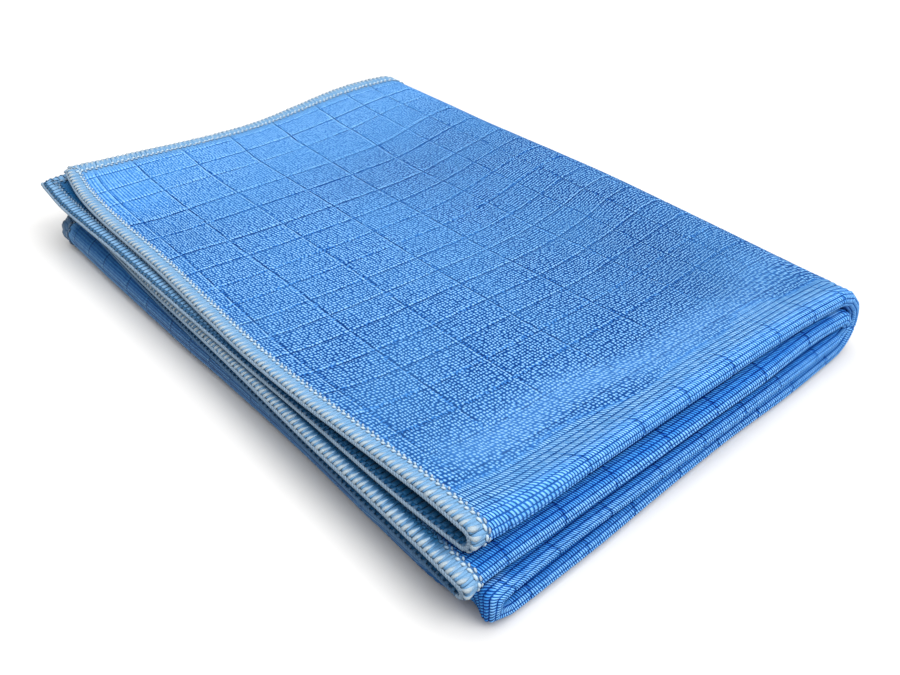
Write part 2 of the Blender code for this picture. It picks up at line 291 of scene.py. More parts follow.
KNIT_TONES = (
    # (how high and how lit a stitch is, its colour): the dark low end is painted shade in the gaps
    # between stitches and in the grooves
    (0.0, (0.001, 0.028, 0.160)), (0.42, (0.026, 0.152, 0.488)),
    (0.88, (0.160, 0.408, 0.736)), (1.0, (0.264, 0.512, 0.792)),
)
BROAD_BLUE = (0.064, 0.248, 0.576, 1)  # of the knit's broad patches
WORN_BLUE = (0.096, 0.224, 0.448, 1)
# Painted shade and a grey painted sheen on the fold at the left, which faces away from the light.
LEFT_FOLD_SHADE_BLUE = (0.068, 0.120, 0.192, 1)
NOSE_TINT = (0.930, 1.090, 1.240, 1)
VALLEY_TINT = (0.100, 0.450, 0.700, 1)
HEM_BLUE = (0.104, 0.264, 0.496, 1)  # of the cloth under the thread
EDGE_GAP_SHADE = (0.056, 0.112, 0.176, 1)  # painted shade on the cloth between the loops
# Painted shade on the inner face, between the layers.
INSIDE_SHADE_BLUE = (0.004, 0.062, 0.170, 1)
THREAD_BLUE = (0.148, 0.318, 0.536, 1)
# Partly the thread's paler colour, partly a painted highlight where it rounds the crest.
THREAD_CREST = (0.370, 0.436, 0.474, 1)
THREAD_PALE = (0.480, 0.608, 0.704, 1)
# Painted shade on the thread: where layers lie close, at the edge, on the rope and on the lower
# hems.
THREAD_SHADOWED = (0.004, 0.068, 0.175, 1)
THREAD_FUZZ = (0.072, 0.160, 0.272, 1)
# Painted shade on the thread round the fold at the left.
THREAD_SHADE_AT_FOLD = (0.032, 0.072, 0.144, 1)
FLOOR_WHITE, FLOOR_WHITER = (0.67, 0.665, 0.66, 1), (0.68, 0.675, 0.67, 1)
KNIT_SURFACE = {
    "Roughness": 0.85, "Specular IOR Level": 0.05, "Sheen Weight": 0.02, "Sheen Roughness": 0.45,
    "Sheen Tint": (0.75, 0.88, 1.0, 1),
}
THREAD_SURFACE = {
    "Roughness": 0.5, "Specular IOR Level": 0.12, "Sheen Weight": 0.03, "Sheen Roughness": 0.4,
}
FLOOR_SURFACE = {"Roughness": 0.8, "Specular IOR Level": 0.1}

# ---- the studio ----

CAMERA_PLACE = (-0.10715, -0.13339, 0.113)
CAMERA_YAW, CAMERA_PITCH = 49.21, -36.62  # in degrees
SENSOR = 36  # width, in mm
LENS = SENSOR * 920 / 900
FLOOR_SIDE, FLOOR_Z = 3.0, -0.00004  # half its length, and just under the cloth
WORLD_LIGHT = 0.47
LIGHTS = (
    # (name, place, size, power, colour)
    ("overhead", (-0.04, 0.0, 1.0), 1.30, 12.9, (1, 1, 1)),
    ("key", (0.28, -0.80, 1.00), 0.9, 9.6, (1, 0.99, 0.97)),
)

# ---- the folded sheet ----


def smooth(x, low, high):
    """0 below low and 1 above high, with a soft step between."""
    share = np.clip((x - low) / (high - low), 0, 1)
    return share * share * (3 - 2 * share)


def curve(xs, values, x):
    """A smooth curve through points, level beyond the first and the last."""
    slopes = np.diff(values) / np.diff(xs)
    tangent = np.concatenate([slopes[:1], (slopes[1:] + slopes[:-1]) / 2, slopes[-1:]])
    i = np.clip(np.searchsorted(xs, x) - 1, 0, len(xs) - 2)
    gap = xs[i + 1] - xs[i]
    t = np.clip((x - xs[i]) / gap, 0, 1)
    step = t * t * (3 - 2 * t) * (values[i + 1] - values[i])
    return values[i] + step + gap * t * (1 - t) * ((1 - t) * tangent[i] - t * tangent[i + 1])


def wavy(level, swings, x):
    """A level that swings along x. The swings' rows are (size, length, phase)."""
    return sum((size * np.sin(x / span + phase) for size, span, phase in swings), level)


def along(table, y):
    """A table's second column at y, in metres."""
    ys, values = np.array(table, float).T
    return curve(ys, values, y / MM) * MM


def over(columns, table, x, y):
    """A table's value at a place, from its columns' x and its rows' y."""
    xs, ys = np.array(columns, float), np.array([row_y for row_y, _ in table], float)
    rows = np.stack([curve(xs, np.array(row, float), x / MM) for _, row in table])
    i = np.clip(np.searchsorted(ys, y / MM) - 1, 0, len(ys) - 2)
    low, high = (np.take_along_axis(rows, k[None], 0)[0] for k in (i, i + 1))
    return low + (high - low) * smooth(y / MM, ys[i], ys[i + 1])


def strip_middle(s):
    """Place (x, z) and upward side (nx, nz) of the strip's middle line at length s."""
    x, z, nx, nz = (np.zeros_like(s) for _ in range(4))
    begin, at_x, at_z, heading = 0.0, 0.0, TOP_STRIP, 0.0
    for n, (length, turn) in enumerate(STRIP_LINE):
        here = (s >= begin) if n else np.full(s.shape, True)
        step = s[here] - begin
        angle = heading + turn * math.pi * step / length
        if turn:
            radius = turn * length / math.pi
            x[here] = at_x + radius * (np.sin(angle) - math.sin(heading))
            z[here] = at_z - radius * (np.cos(angle) - math.cos(heading))
            at_z += 2 * radius * math.cos(heading)
            heading += turn * math.pi
        else:
            x[here] = at_x + step * math.cos(heading)
            z[here] = at_z
            at_x += length * math.cos(heading)
        nx[here], nz[here] = -np.sin(angle), np.cos(angle)
        begin += length
    return x, z, nx, nz


def double_layer(v):
    """Y at v across the cut before the nose's round is cut off, and the round's angle."""
    after = v - NEAR_LAYER
    beyond = np.maximum(-after, 0) + np.maximum(after - NOSE_TURN, 0)
    return NOSE_CENTRE + beyond, np.clip(after / LAYER_RISE, 0, math.pi)


def hem_shift(near_table, far_table, y, side):
    """How far a strip's end is pulled along, from its table for each layer."""
    near, far = along(near_table, y), along(far_table, y)
    return far + (near - far) * (1 + side) / 2


def folded(u, v):
    """The middle of the folded cloth at u along and v across the cut, as points in space."""
    y, angle = double_layer(v)
    side = np.cos(angle)
    start = hem_shift(TOP_LAYER_HEM, SECOND_LAYER_HEM, y, side)
    end = hem_shift(FOURTH_LAYER_HEM, THIRD_LAYER_HEM, y, side)
    left = CUT_LENGTH - u
    s = u + start * (1 - smooth(u, 0, HEM_REACH)) - end * (1 - smooth(left, 0, HEM_REACH))
    gape = GAPE * (1 - smooth(u, 0, GAPE_LENGTH)) * (1 - smooth(y, *GAPE_WIDTH))
    sag = SAG * (1 - smooth(left, 0, SAG_LENGTH)) * (1 - smooth(y, *SAG_WIDTH))
    reach = LAYER_RISE + gape + sag / 4
    rise = side * reach + GAPE_LIFT * gape + sag * 0.75
    x, z, nx, nz = strip_middle(s)
    nose_shares, nose_ys = np.array(NOSE_LINE, float).T
    nose = curve(nose_shares, nose_ys, u / CUT_LENGTH) * MM - reach * np.sin(angle)
    tuck = TUCK * (1 - smooth(u, 0, TUCK_LENGTH)) * (1 - smooth(y, *TUCK_WIDTH))
    return np.stack([x + rise * nx, y + nose + tuck, z + rise * nz], -1)


def bent(points):
    """The true stack's points, leaned over at its sides and pressed or puffed in height."""
    x, y, z = points[..., 0], points[..., 1], points[..., 2]
    left = (1 - smooth(x, 0, LEAN_REACH)) * (1 - smooth(z, *LEAN_HEIGHT))
    right = smooth(x, RIGHT_WRAP - LEAN_REACH, RIGHT_WRAP)
    shares = over(HEIGHT_X, STACK_HEIGHT, x, y)
    x = x + along(LEFT_LEAN, y) * left + along(RIGHT_LEAN, y) * right
    return np.stack([x - MIDDLE[0], y - MIDDLE[1], np.maximum(z * shares, 0)], -1)


def cloth_point(u, v, lift):
    """A point of the cloth, lifted off its middle towards its outer face."""
    along_u = folded(u + PROBE, v) - folded(u - PROBE, v)
    along_v = folded(u, v + PROBE) - folded(u, v - PROBE)
    normal = np.cross(along_v, along_u)
    normal /= np.linalg.norm(normal, axis=-1, keepdims=True)
    return bent(folded(u, v) + normal * lift[..., None])


def rounded(u, v):
    """The sheet's corners rounded off, and its edge drawn in to where the thread is."""
    from_u, from_v = np.minimum(u, CUT_LENGTH - u), np.minimum(v, CUT_WIDTH - v)
    au = np.clip((CORNER - from_u) / CORNER, 0, 1)
    av = np.clip((CORNER - from_v) / CORNER, 0, 1)
    into_u = (au - au * np.sqrt(1 - av * av / 2)) * CORNER + EDGE * (1 - smooth(from_u, 0, CORNER))
    into_v = (av - av * np.sqrt(1 - au * au / 2)) * CORNER + EDGE * (1 - smooth(from_v, 0, CORNER))
    u = u + np.where(u < CUT_LENGTH / 2, into_u, -into_u)
    return u, v + np.where(v < CUT_WIDTH / 2, into_v, -into_v)


# ---- the dense sheet with its ribs and grooves ----


def course_length(v):
    """Length across the cut along the outer face, where a nose's courses are drawn apart."""
    return v + OUTER_ARC * np.clip(v - NEAR_LAYER, 0, NOSE_TURN)


def check_index(grooves, x):
    """A coordinate that is a whole number on each groove."""
    places = np.array(grooves, float) * MM
    places = np.concatenate([[2 * places[0] - places[1]], places, [2 * places[-1] - places[-2]]])
    return np.interp(x, places, np.arange(len(places), dtype=float))


def rib_stitches(u):
    """How many of a rib's stitches lie before u: they are finer towards the hems."""
    grid = np.linspace(0, CUT_LENGTH, 2001)
    from_hem = smooth(strip_middle(grid)[0], 0, HEM_STITCH_REACH)
    pitch = STITCH * MM * (HEM_STITCH + (1 - HEM_STITCH) * from_hem)
    count = np.concatenate([[0], np.cumsum(np.diff(grid) / pitch[:-1])])
    return np.interp(u, grid, count)


def groove_form(grooves, x):
    """Depth of the check's grooves at x: 1 at a groove's bottom, a little below 0 beside it."""
    gap = np.abs(x[..., None] - np.array(grooves, float) * MM).min(-1)
    bank = BANK_HEIGHT * np.exp(-(((gap / MM) - BANK_PLACE) / BANK_WIDTH) ** 2)
    return (1 - smooth(gap, 0, GROOVE_HALF)) - bank


def opened(u, v):
    """How far the knit is drawn open into ribs: 1 on the noses, 0 on the flats."""
    from_nose = np.maximum(np.maximum(NEAR_LAYER - v, v - NEAR_LAYER - NOSE_TURN), 0)
    reach = wavy(RIBBED, RIBBED_SWINGS, u / MM) * MM
    return 1 - smooth(from_nose, RIBBED_FULL * reach, reach)


def waves(u, v):
    """The cloth's slight unevenness, in metres."""
    a, b = u / MM, v / MM
    low = np.sin(a / 11.3 + 0.7 * np.sin(b / 17.0)) * np.sin(b / 13.1 + 0.5)
    high = np.sin(a / 4.3 + 1.3 * np.sin(b / 7.1 + 2.0)) * np.sin(b / 4.9 + 0.8 * np.sin(a / 9.0))
    return (UNEVEN_LOW * low + UNEVEN_HIGH * high) * MM


def stations(length, grooves, fine, extra):
    """Places of the grid's lines: by the edges, round each groove, and evenly between."""
    places = [p * MM for p in EDGE_LINES]
    places += [length - p for p in places]
    for groove in grooves:
        if HEM_BAND < groove < length / MM - HEM_BAND:
            places += [(groove + step) * MM for step in GROOVE_LINES]
    places += list(extra)
    places = np.unique(np.round(places, 7))
    filled = [places[:1]]
    for low, high in zip(places[:-1], places[1:]):
        steps = max(1, math.ceil((high - low) / fine((low + high) / 2) - 1e-6))
        filled.append(np.linspace(low, high, steps + 1)[1:])
    return np.concatenate(filled)


def length_step(u):
    """The outer face's longest step at u: fine round the strip's turns."""
    begin = 0.0
    for length, turn in STRIP_LINE:
        if turn and begin - 0.5 * MM < u < begin + length + 0.5 * MM:
            return TIGHT_STEP if length < TIGHT_TURN else WIDE_STEP
        begin += length
    return FLAT_STEP


def width_step(v):
    """The outer face's longest step at v: finest on the nose, and fine on the ribs by it."""
    from_nose = max(NEAR_LAYER - v, v - NEAR_LAYER - NOSE_TURN, 0)
    if from_nose == 0:
        return NOSE_STEP
    if from_nose < RIB_STEP_REACH:
        return RIB_STEP
    return NEAR_STEP if v < NEAR_LAYER else FAR_STEP


def thinned(places, step):
    """The stations that the inner face keeps: the ends, and others at least a step apart."""
    kept = [0]
    for i in range(1, len(places) - 1):
        if places[i + 1] - places[kept[-1]] > step(places[i]):
            kept.append(i)
    return np.array(kept + [len(places) - 1])


def inner_step(place, turns):
    """How far apart the inner face's lines are: close by a turn and by a hem."""
    if any(start - 0.3 * MM < place < end + 0.3 * MM for start, end in turns):
        return TIGHT_STEP
    return FLAT_STEP


def sheet_mesh():
    """The closed sheet, with what its material needs to know of each place."""
    turns = np.cumsum([0] + [length for length, _ in STRIP_LINE])
    near_courses = [g for g in COURSE_GROOVES if g < NEAR_LAYER / MM]
    us = stations(CUT_LENGTH, WALE_GROOVES, length_step, turns[1:-1])
    vs = stations(CUT_WIDTH, near_courses, width_step, [NEAR_LAYER, NEAR_LAYER + NOSE_TURN])
    flat_u, flat_v = np.meshgrid(us, vs, indexing="ij")
    end_u, end_v = CUT_LENGTH - flat_u, CUT_WIDTH - flat_v
    hem = np.minimum(np.minimum(flat_u, end_u), np.minimum(flat_v, end_v) / (1 + BACK_HEM))
    inside = smooth(hem, *KNIT_BEGINS)
    drift = over(DRIFT_U, WALE_DRIFT, flat_u, flat_v) * MM
    drift = drift * smooth(flat_u, *DRIFT_BEGINS) * smooth(end_u, *DRIFT_ENDS)
    bow = over(BOW_U, COURSE_BOW, flat_u, flat_v) * MM * smooth(flat_v, *BOW_BEGINS)
    u, v = rounded(flat_u + drift, flat_v + bow)

    ribs = opened(flat_u, flat_v) * inside
    length = course_length(flat_v)
    rib = np.abs(np.sin(math.pi * length / MM / RIB)) ** RIB_POWER - RIB_MEAN
    rib = (FLAT_RIB + NOSE_RIB * ribs) * MM * rib
    wales, courses = groove_form(WALE_GROOVES, flat_u), groove_form(near_courses, flat_v)
    crossing = GROOVE_CROSSING * np.minimum(wales, courses)
    grooves = GROOVE_DEPTH * (np.maximum(wales, courses) + crossing) * plainness(flat_v)
    half = HEM_HALF + (SHEET / 2 - HEM_HALF) * smooth(hem, *HEM_NARROWS)
    half = half * (1 - EDGE_THINNER * (1 - smooth(hem, 0, EDGE_ROUND)))
    ripple = waves(flat_u, flat_v) * smooth(hem, *WAVES_BEGIN)
    outer = cloth_point(u, v, half + inside * (rib - grooves) + ripple)
    band = HEM_BAND * MM
    folds = [(0, band), (CUT_LENGTH - band, CUT_LENGTH), *zip(turns[1:-1:2], turns[2::2])]
    noses = [(0, band), (CUT_WIDTH - band, CUT_WIDTH), (NEAR_LAYER, NEAR_LAYER + NOSE_TURN)]
    rows = thinned(us, lambda place: inner_step(place, folds))
    columns = thinned(vs, lambda place: inner_step(place, noses))
    pick = np.ix_(rows, columns)
    inner = cloth_point(u[pick], v[pick], (ripple - half)[pick])

    index = np.arange(outer.shape[0] * outer.shape[1]).reshape(outer.shape[:2])
    under = index.size + np.arange(len(rows) * len(columns)).reshape(len(rows), len(columns))
    faces = quads(index).tolist() + quads(under)[:, ::-1].tolist()
    rim = (
        # (the outer face's side, the inner face's side, where they match)
        (index[:, 0], under[:, 0], rows),
        (index[-1, :], under[-1, :], columns),
        (index[::-1, -1], under[::-1, -1], len(us) - 1 - rows[::-1]),
        (index[0, ::-1], under[0, ::-1], len(vs) - 1 - columns[::-1]),
    )
    for line, below, match in rim:
        for k in range(len(below) - 1):
            span = line[match[k] : match[k + 1] + 1].tolist()
            faces.append(span + [int(below[k + 1]), int(below[k])])
    points = np.concatenate([outer.reshape(-1, 3), inner.reshape(-1, 3)])
    mesh = bpy.data.meshes.new("cloth")
    mesh.from_pydata(points.tolist(), [], faces)

    def both(values, inner=None):
        """A value for each point: the outer face's, and then the inner face's."""
        inner = values if inner is None else inner
        return np.concatenate([values.reshape(-1), inner[pick].reshape(-1)])

    check = check_index(WALE_GROOVES, flat_u), check_index(COURSE_GROOVES, flat_v)
    add_uv(mesh, "stitch", both(flat_u / MM), both(length / MM))
    add_uv(mesh, "check", both(check[0]), both(check[1]))
    add_uv(mesh, "beats", both(rib_stitches(flat_u)), both(length / MM / RIB))
    from_middle = np.abs(flat_v - NOSE_MIDDLE)
    for name, values in (
        ("hem", both(1 - smooth(hem, *HEM_TONE))),
        # painted shade on the cloth at the edge, between the loops
        ("gaps", both(0.9 * (1 - smooth(hem, *EDGE_TONE)))),
        # painted shade on the inner face, left off at the lit corner
        ("inside", both(0 * hem, 0.95 * (1 - lit_corner(flat_u, flat_v, hem)))),
        ("lines", both(corner_lines(flat_u, flat_v))),
        ("ribs", both(ribs)),
        ("worn", both(worn(flat_u, flat_v))),
        ("contrast", both(gap_shade_contrast(flat_u, flat_v))),
        ("fold", both(fold_share(flat_u) * smooth(from_middle, *FOLD_TONE))),
        ("plain", both(plainness(flat_v))),
        ("valley", both(valley(flat_u, flat_v))),
        ("nose", both(1 - smooth(from_middle, *NOSE_TONE))),
    ):
        add_value(mesh, name, values)
    mesh.shade_smooth()
    return mesh


def quads(index):
    """The grid's faces."""
    corners = [index[:-1, :-1], index[:-1, 1:], index[1:, 1:], index[1:, :-1]]
    return np.stack(corners, -1).reshape(-1, 4)


def plainness(v):
    """How plain the check's grooves are: faint where the cloth nears its nose."""
    return 1 - PLAIN_SHARE * smooth(v, *PLAIN_BEGINS) * (1 - smooth(v, *PLAIN_ENDS))


def worn(u, v):
    """Where the pile is rubbed smooth and pale: a band along the top's front nose."""
    a, b = u / MM, (NEAR_LAYER - v) / MM
    middle = wavy(WORN_MIDDLE, WORN_SWINGS, a)
    band = np.exp(-(((b - middle) / WORN_WIDTH) ** 2))
    return band * smooth(a, *WORN_BEGINS) * (1 - WORN_FADE * smooth(a, *WORN_FADES))


def gap_shade_contrast(u, v):
    """How deep the painted shade in the gaps between stitches is: most at the right and in front.
    """
    a, b = u / MM, v / MM
    front = sum((more * smooth(b, low, high) for more, low, high in CONTRAST_STEPS), CONTRAST)
    return front + RIGHT_CONTRAST * (smooth(a, *RIGHT_U) * smooth(b, *RIGHT_V))


def valley(u, v):
    """How deep in shade the cloth is between one layer's nose and the next."""
    turned = sum(smooth(u, begin, begin + FOLD_REACH) for begin in TURN_BEGINS)
    up = np.cos(double_layer(v)[1]) * np.cos(math.pi * turned)
    below = np.clip(turned, 0, 1)
    return np.maximum(below * smooth(up, *VALLEY_UP), smooth(-up, *VALLEY_DOWN))


def corner_lines(u, v):
    """1 by the top's back corner at the hems, where the wales show as fine bright lines."""
    return (1 - smooth(u, *LINES_U)) * (1 - smooth(v, *LINES_V))


def fold_share(u):
    """1 round the fold at the left, where the wales show as fine lines and painted shade darkens
    the cloth and its thread.
    """
    begin, end = TURN_BEGINS[1], TURN_BEGINS[1] + STRIP_LINE[3][0]
    return smooth(u, begin - FOLD_REACH, begin) * (1 - smooth(u, end, end + FOLD_REACH))


def lit_corner(u, v, inward):
    """1 on the inner face at the second layer's back corner, which shows past the top one: there
    the painted shade is left off.
    """
    corner = (u < CUT_LENGTH / 2) * smooth(v, *LIT_V)
    return corner * (1 - smooth(inward, *LIT_INWARD))


def add_uv(mesh, name, x, y):
    """A UV map with a value for each point."""
    layer = mesh.uv_layers.new(name=name)
    corners = np.zeros(len(mesh.loops), np.int32)
    mesh.loops.foreach_get("vertex_index", corners)
    layer.data.foreach_set("uv", np.stack([x[corners], y[corners]], -1).astype(np.float32).ravel())


def add_value(mesh, name, values):
    """A number for each point."""
    layer = mesh.attributes.new(name, "FLOAT", "POINT")
    layer.data.foreach_set("value", values.astype(np.float32))


# ---- the overlock threads ----

STRAIGHT_U, STRAIGHT_V = CUT_LENGTH - 2 * CORNER, CUT_WIDTH - 2 * CORNER
QUARTER = math.pi / 2 * CORNER
PERIMETER = 2 * (STRAIGHT_U + STRAIGHT_V) + 4 * QUARTER
EDGE_SIDES = (
    # (length, u and v where it starts, heading in degrees)
    (STRAIGHT_V, (0, CUT_WIDTH - CORNER), -90),
    (STRAIGHT_U, (CORNER, 0), 0),
    (STRAIGHT_V, (CUT_LENGTH, CORNER), 90),
    (STRAIGHT_U, (CUT_LENGTH - CORNER, CUT_WIDTH), 180),
)


def edge_at(t):
    """The place u, v at length t along the sheet's edge, its heading, and 1 round a corner."""
    t = np.mod(t, PERIMETER)
    u, v, heading, turned = (np.zeros_like(t) for _ in range(4))
    begin = 0.0
    for length, (u0, v0), degrees in EDGE_SIDES:
        way = math.radians(degrees)
        here = (t >= begin) & (t < begin + length)
        step = t[here] - begin
        u[here], v[here] = u0 + step * math.cos(way), v0 + step * math.sin(way)
        heading[here] = way
        begin += length
        here = (t >= begin) & (t < begin + QUARTER + 1e-12)
        angle = way + (t[here] - begin) / CORNER
        middle_u = u0 + length * math.cos(way) - CORNER * math.sin(way)
        middle_v = v0 + length * math.sin(way) + CORNER * math.cos(way)
        u[here] = middle_u + CORNER * np.sin(angle)
        v[here] = middle_v - CORNER * np.cos(angle)
        heading[here], turned[here] = angle, 1
        begin += QUARTER
    return u, v, heading, turned


def spread(share):
    """Lengths along the edge that are even on the outer face, and how much closer they lie."""
    t = np.linspace(0, PERIMETER, 30001)
    v = edge_at(t)[1]
    stretch = 1 + OUTER_ARC * ((v > NEAR_LAYER) & (v < NEAR_LAYER + NOSE_TURN))
    length = np.concatenate([[0], np.cumsum(stretch[:-1] * np.diff(t))])
    places = np.interp(share * length[-1], length, t)
    return places, 1 / np.interp(places, t, stretch)


def hem_point(t, inward, height):
    """A point by the hem: t along the edge, inward from it, height off the sheet's middle."""
    u, v, heading, turned = edge_at(t)
    drawn = CORNER_DRAW * CORNER + CORNER_DRAW * inward
    inward = np.where(turned > 0, np.minimum(inward, drawn), inward)
    inward = inward * (1 + BACK_HEM * np.cos(heading) ** 2 * (inward > 0))
    return cloth_point(
        u - (inward + EDGE) * np.sin(heading), v + (inward + EDGE) * np.cos(heading), height
    )


def threads(name, centres, width, height, level, crest, shade, dim):
    """One mesh of many threads. centres is (thread, ring, (t, inward, height)). A ring's half
    width lies towards the level axis and its half height off it."""
    count, rings = centres.shape[:2]
    way = np.gradient(centres, axis=1)
    way /= np.linalg.norm(way, axis=-1, keepdims=True)
    flat = np.zeros_like(way)
    flat[..., level] = 1
    across = flat - way * (way * flat).sum(-1, keepdims=True)
    across /= np.linalg.norm(across, axis=-1, keepdims=True)
    up = np.cross(way, across) * (height + np.zeros((count, rings)))[..., None]
    across = across * (width + np.zeros((count, rings)))[..., None]
    angle = (np.arange(SIDES) + 0.5) * 2 * math.pi / SIDES
    ring = centres[:, :, None] + across[:, :, None] * np.cos(angle)[:, None]
    ring = ring + up[:, :, None] * np.sin(angle)[:, None]
    points = hem_point(ring[..., 0], ring[..., 1], ring[..., 2]).reshape(-1, 3)
    index = np.arange(count * rings * SIDES).reshape(count, rings, SIDES)
    a, b = index[:, :-1], index[:, 1:]
    faces = np.stack([a, np.roll(a, -1, 2), np.roll(b, -1, 2), b], -1).reshape(-1, 4).tolist()
    faces += index[:, 0, ::-1].tolist() + index[:, -1, :].tolist()
    mesh = bpy.data.meshes.new(name)
    mesh.from_pydata(points.tolist(), [], faces)
    fold = fold_share(edge_at(centres[..., 0])[0])
    for kind, values in (("crest", crest), ("shade", shade), ("dim", dim), ("fold", fold)):
        add_value(mesh, kind, np.repeat((values + np.zeros((count, rings))).ravel(), SIDES))
    mesh.shade_smooth()
    return mesh


def shadow(t, inward, face):
    """How dark the painted shade on a thread is where the layers lie close on it, and on the inner
    face but its lit corner.
    """
    u, v, _, _ = edge_at(t)
    if face < 0:
        return 1 - lit_corner(u, v, inward)
    from_nose = np.abs(v - NOSE_MIDDLE)
    third = (u > CUT_LENGTH / 2) * (v > NEAR_LAYER)
    ledge = smooth(inward, *LEDGE_INWARD) * smooth(from_nose, *LEDGE_FROM_NOSE)
    return third * np.maximum(ledge, BACK_SHADE * smooth(from_nose, *BACK_FROM_NOSE))


def lower_edge(t):
    """How dark the painted shade on the edge's own threads is: the two hems under the others lie
    in their shade.
    """
    u, v, _, _ = edge_at(t)
    fourth = FOURTH_EDGE_DIM * (v < NEAR_LAYER)
    third = THIRD_EDGE_DIM * smooth(v, NEAR_LAYER + BACK_FROM_NOSE[0], CUT_WIDTH)
    return smooth(u, *LOWER_HALF) * (fourth + third)


def satin(rng, face):
    """The threads side by side on one face, from the needle row to the crest."""
    rows = SATIN_PROFILE if face > 0 else SATIN_PROFILE[:INNER_ROWS]
    inward, height, half_width, half_height = np.array(rows).T * MM
    per_stitch = 2 if face > 0 else 1
    count = int(round(PERIMETER / LOOP)) * per_stitch
    t, closer = spread((np.arange(count)[:, None] + 0.5) / count)
    uneven = rng.normal(0, 1, (3, count, 1))
    centres = np.stack(
        [
            t + (SATIN_SLANT * inward + SATIN_UNEVEN[0] * uneven[0]) * closer,
            inward + SATIN_UNEVEN[1] * uneven[1],
            face * height * (1 + SATIN_UNEVEN[2] * uneven[2]),
        ],
        -1,
    )
    width = half_width * (1 + 0.05 * uneven[1]) * closer * 1.6 / per_stitch**0.68
    shade = rng.uniform(0, 0.5, (count, 1))
    # Painted shade where layers lie close, and on the rows at the edge.
    dim = shadow(centres[..., 0], centres[..., 1], face)
    dim = np.maximum(dim, EDGE_DIM * (1 - smooth(inward, *EDGE_DIM_INWARD)))
    return threads("overlock_satin", centres, width, half_height, 0, 0.0, shade, dim)


def edge_loops(rng):
    """One loop a stitch, thick on the crest, that slants over the edge to the inner face."""
    inward, height, half_width, half_height, way, crest, dim = np.array(LOOP_PROFILE).T
    count = int(round(PERIMETER / LOOP))
    t, closer = spread((np.arange(count)[:, None] + 0.5) / count)
    uneven = rng.normal(0, 1, (3, count, 1))
    centres = np.stack(
        [
            t + (way * LOOP + LOOP_UNEVEN[0] * uneven[0]) * closer,
            (inward + LOOP_UNEVEN[1] * uneven[1]) * MM,
            height * (1 + LOOP_UNEVEN[2] * uneven[2]) * MM,
        ],
        -1,
    )
    width = half_width * (1 + LOOP_UNEVEN[3] * uneven[2]) * MM * closer
    shade = rng.uniform(0, 0.6, (count, 1))
    # Painted shade: the profile's, towards the inner face, and on the lower hems' edges.
    dim = np.maximum(dim, lower_edge(centres[..., 0]))
    return threads("overlock_loops", centres, width, half_height * MM, 0, crest, shade, dim)


def needle_row(rng, face):
    """The needle thread's short stitches on one face, in two rows."""
    count = int(round(PERIMETER / LOOP))
    ring = np.linspace(-1, 1, 4)
    centres, width, shade = [], [], []
    for n, (shift, inward, reach, slope, half) in enumerate(NEEDLE_ROWS):
        t, closer = spread((np.arange(count)[:, None] + shift) / count)
        slip = rng.normal(0, 0.06 * MM, (count, 1))
        arch = face * (0.78 + 0.12 * (1 - ring**2)) * MM + 0 * t
        along_edge = t + (ring * reach * MM + slip) * closer
        centres.append(np.stack([along_edge, (inward + ring * slope) * MM + slip, arch], -1))
        width.append(np.sqrt(np.maximum(1 - ring**2, 0.15)) * half * MM + 0 * t)
        shade.append(rng.uniform(1.5, 2, (count, 1)) - 0.7 * n)
    centres, width, shade = (np.concatenate(parts) for parts in (centres, width, shade))
    # Painted shade where layers lie close.
    dim = shadow(centres[..., 0], centres[..., 1], face)
    return threads("overlock_needle", centres, width, 0.8 * width, 1, 0.5, shade, dim)


def edge_rope(rng):
    """Two threads that twist round each other along the edge."""
    step = np.arange(int(round(PERIMETER / LOOP)) * ROPE_STEPS + 1)
    phase = step * 2 * math.pi / ROPE_STEPS + np.array([[0], [math.pi]])
    centres = np.stack(
        [
            spread(step / step[-1])[0] + 0 * phase,
            (ROPE_INWARD - ROPE_SWING[0] * np.cos(phase)) * MM,
            (ROPE_HEIGHT + ROPE_SWING[1] * np.sin(phase)) * MM,
        ],
        -1,
    )
    # Random paleness, and a painted highlight on the outer side of each twist.
    shade = rng.uniform(0, 0.4, phase.shape) + 0.5 * np.maximum(np.cos(phase), 0)
    radius = ROPE_RADIUS * MM
    # Painted shade on the rope, and more on the lower hems.
    dim = np.maximum(ROPE_DIM, lower_edge(centres[..., 0]))
    return threads("overlock_rope", centres, radius, radius, 1, 0.8, shade, dim)


def corner_ends(rng):
    """The threads' ends at each of the sheet's corners: a stub, and a loop that lies on it."""
    corner_ts, begin = [], 0.0
    for length, _, _ in EDGE_SIDES:
        begin += length + QUARTER
        corner_ts.append(begin - QUARTER / 2)
    ring = np.linspace(0, 1, 9)
    centres = []
    for t in corner_ts:
        turn = ring * 1.8 * math.pi + rng.uniform(0, 6)
        stub = [0.25 * MM * np.sin(ring * 5), (0.7 - 1.9 * ring) * MM, (0.35 - 0.5 * ring) * MM]
        curl = [0.55 * MM * np.cos(turn), (0.7 + 0.55 * np.sin(turn)) * MM, 0.95 * MM + 0 * ring]
        for along_edge, inward, height in (stub, curl):
            centres.append(np.stack([t + along_edge, inward, height], -1))
    centres = np.array(centres)
    width = np.array([[0.48], [0.26]] * len(corner_ts)) * MM * np.sqrt(1.05 - ring**6)
    return threads("overlock_ends", centres, width, 0.9 * width, 0, 0.7, 0.3 + 0 * width, 0.2)


# ---- materials ----


